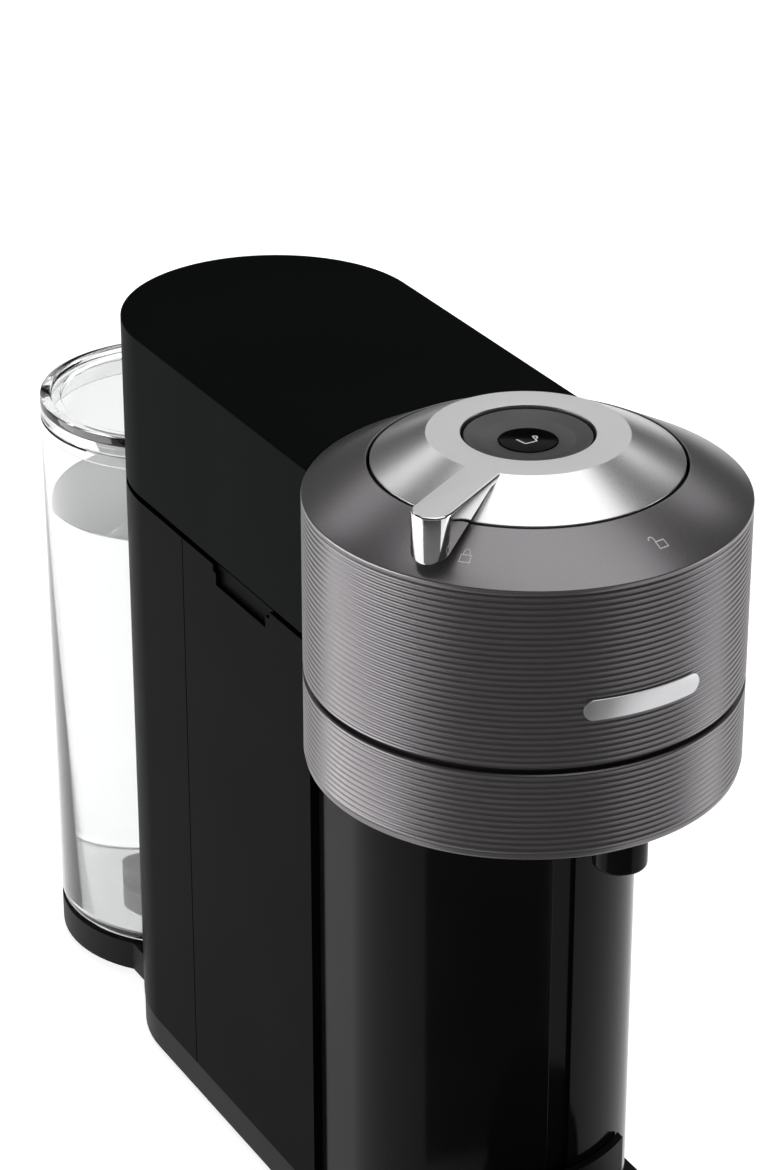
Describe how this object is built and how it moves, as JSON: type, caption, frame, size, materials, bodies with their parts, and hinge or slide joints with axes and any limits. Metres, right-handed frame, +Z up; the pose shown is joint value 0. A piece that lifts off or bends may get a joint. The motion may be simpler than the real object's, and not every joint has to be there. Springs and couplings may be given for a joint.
{
  "type": "pod coffee machine",
  "caption": "Slim pod coffee machine with a round ribbed brewing head, locking lever, button, clear water tank behind and a cup support in front.",
  "frame": {"origin": "on the table, under the middle of the bounding box", "axes": "+Z up; the machine's front (cup support) faces -Y and its water tank +Y; +X is the machine's left-hand side seen from behind"},
  "size_m": [0.142, 0.429, 0.314],
  "materials": {
    "head_grey": "satin metallic grey",
    "chrome": "chrome plated, mirror",
    "badge_metal": "brushed",
    "button_grey": "satin",
    "gloss_black": "glossy",
    "matte_black": "fine grained",
    "inner_black": "moulded",
    "grid_steel": "brushed",
    "clear_plastic": "clear",
    "rubber": "matte",
    "silicone": "translucent",
    "steel": "plain",
    "motor_metal": "plated",
    "aluminium": "cast",
    "pump_plastic": "moulded",
    "board_green": "lacquered"
  },
  "bodies": {
    "machine_body": {"base_plate": "matte_black", "rubber_feet": "rubber", "base_screws": "steel", "inner_frame": "inner_black", "body_shell_left": "gloss_black", "body_shell_right": "gloss_black", "rear_cover": "matte_black", "body_deck": "inner_black", "hinge_bracket": "steel", "hinge_pin": "steel", "lower_band": "head_grey", "brew_housing": "inner_black", "coffee_outlet": "gloss_black", "holder_bearing": "steel", "drive_motor": "motor_metal", "motor_bracket": "steel", "motor_screws": "steel", "drive_belt": "rubber", "water_pump": "pump_plastic", "pump_mounts": "inner_black", "heater_block": "aluminium", "flow_meter": "pump_plastic", "control_board": "board_green", "cord_gland": "rubber", "tank_seat": "inner_black", "tank_hose": "silicone", "meter_hose": "silicone", "pressure_hose": "silicone"},
    "lid": {"head_shell": "head_grey", "top_cover": "matte_black", "lid_frame": "inner_black", "lid_screws": "steel", "head_core": "inner_black", "clamp_bearing": "steel", "chamber_seal": "rubber", "button_board": "board_green", "button_spring": "steel", "lid_hose": "silicone", "front_badge": "badge_metal"},
    "lever": {"lever_ring": "chrome", "lock_drum": "inner_black"},
    "button": {"button_cap": "button_grey", "button_window": "gloss_black"},
    "clamp": {"capsule_clamp": "inner_black", "injector_needle": "steel"},
    "holder": {"capsule_holder": "inner_black", "holder_pulley": "aluminium"},
    "motor_rotor": {"motor_shaft": "steel", "motor_pulley": "aluminium"},
    "container": {"capsule_container": "matte_black", "container_front": "gloss_black"},
    "cup_rest": {"cup_support": "matte_black"},
    "tray": {"drip_tray": "matte_black"},
    "grid": {"drip_grid": "grid_steel"},
    "tank": {"tank_shell": "clear_plastic", "valve_guide": "inner_black", "valve_spring": "steel"},
    "tank_cover": {"tank_lid": "clear_plastic"},
    "valve": {"tank_valve": "pump_plastic"}
  },
  "joints": [
    {"name": "lid_hinge", "type": "hinge", "parent": "machine_body", "child": "lid", "pos_m": [0, 0.1195, 0.262], "axis": [-1, 0, 0], "range_deg": [0, 40], "deforming": ["lid_hose"]},
    {"name": "lever_turn", "type": "hinge", "parent": "lid", "child": "lever", "pos_m": [0, -0.0915, 0.305], "axis": [0, 0, 1], "range_deg": [0, 75]},
    {"name": "button_press", "type": "slide", "parent": "lid", "child": "button", "axis": [0, 0, -1], "range_m": [0, 0.0018], "stiffness_N_per_m": 600, "springref_m": -0.002, "deforming": ["button_spring"]},
    {"name": "clamp_spin", "type": "hinge", "parent": "lid", "child": "clamp", "pos_m": [0, -0.0915, 0.25], "axis": [0, 0, 1], "continuous": true},
    {"name": "holder_spin", "type": "hinge", "parent": "machine_body", "child": "holder", "pos_m": [0, -0.0915, 0.21], "axis": [0, 0, 1], "continuous": true},
    {"name": "motor_spin", "type": "hinge", "parent": "machine_body", "child": "motor_rotor", "pos_m": [0, -0.0115, 0.16], "axis": [0, 0, 1], "continuous": true},
    {"name": "container_slide", "type": "slide", "parent": "machine_body", "child": "container", "axis": [0, -1, 0], "range_m": [0, 0.12]},
    {"name": "cup_support_lift", "type": "slide", "parent": "container", "child": "cup_rest", "axis": [0, 0, 1], "range_m": [0, 0.06]},
    {"name": "tray_lift", "type": "slide", "parent": "cup_rest", "child": "tray", "axis": [0, 0, 1], "range_m": [0, 0.05]},
    {"name": "grid_lift", "type": "slide", "parent": "tray", "child": "grid", "axis": [0, 0, 1], "range_m": [0, 0.03]},
    {"name": "tank_lift", "type": "slide", "parent": "machine_body", "child": "tank", "axis": [0, 0, 1], "range_m": [0, 0.29]},
    {"name": "tank_lid_lift", "type": "slide", "parent": "tank", "child": "tank_cover", "axis": [0, 0, 1], "range_m": [0, 0.03]},
    {"name": "valve_open", "type": "slide", "parent": "tank", "child": "valve", "axis": [0, 0, 1], "range_m": [0, 0.003], "stiffness_N_per_m": 150, "springref_m": -0.003, "deforming": ["valve_spring"]}
  ],
  "couplings": [
    {"joint": "motor_spin", "follows": "holder_spin", "ratio": 2.4444},
    {"joint": "clamp_spin", "follows": "holder_spin", "ratio": 1}
  ]
}
